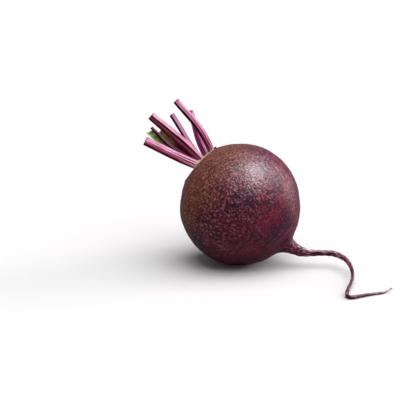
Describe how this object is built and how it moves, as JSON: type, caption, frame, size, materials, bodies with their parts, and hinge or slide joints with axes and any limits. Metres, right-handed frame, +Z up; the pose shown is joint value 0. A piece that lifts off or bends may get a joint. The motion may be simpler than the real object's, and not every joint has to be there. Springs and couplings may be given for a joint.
{
  "type": "beetroot",
  "caption": "Whole beetroot on its side: round root with a long curled tail, cut crimson leaf stalks and a young leaf. Fresh vegetable for kitchen, market and food scenes.",
  "frame": {"origin": "middle of the small flat spot that the root rests on", "axes": "+Z up; the crown with the stalks points up towards -X, and the tail runs off towards +X and curls forward to -Y"},
  "size_m": [0.1627, 0.1174, 0.1063],
  "materials": {
    "root_skin": "matte, fine rough skin with brown corky flecks and thin scars",
    "stalk_skin": "satin, ribbed crimson with pale pink ridges",
    "young_stalk_skin": "satin, mauve with a dark groove",
    "leaf_blade": "satin, yellow-green leaf",
    "dry_bud": "matte, dried and nearly black"
  },
  "bodies": {
    "root": {"swollen_root": "root_skin", "stalk_1": "stalk_skin", "stalk_2": "stalk_skin", "stalk_3": "stalk_skin", "stalk_4": "stalk_skin", "stalk_5": "stalk_skin", "young_leaf_stalk": "young_stalk_skin", "young_leaf_blade": "leaf_blade", "withered_bud": "dry_bud"}
  },
  "joints": []
}
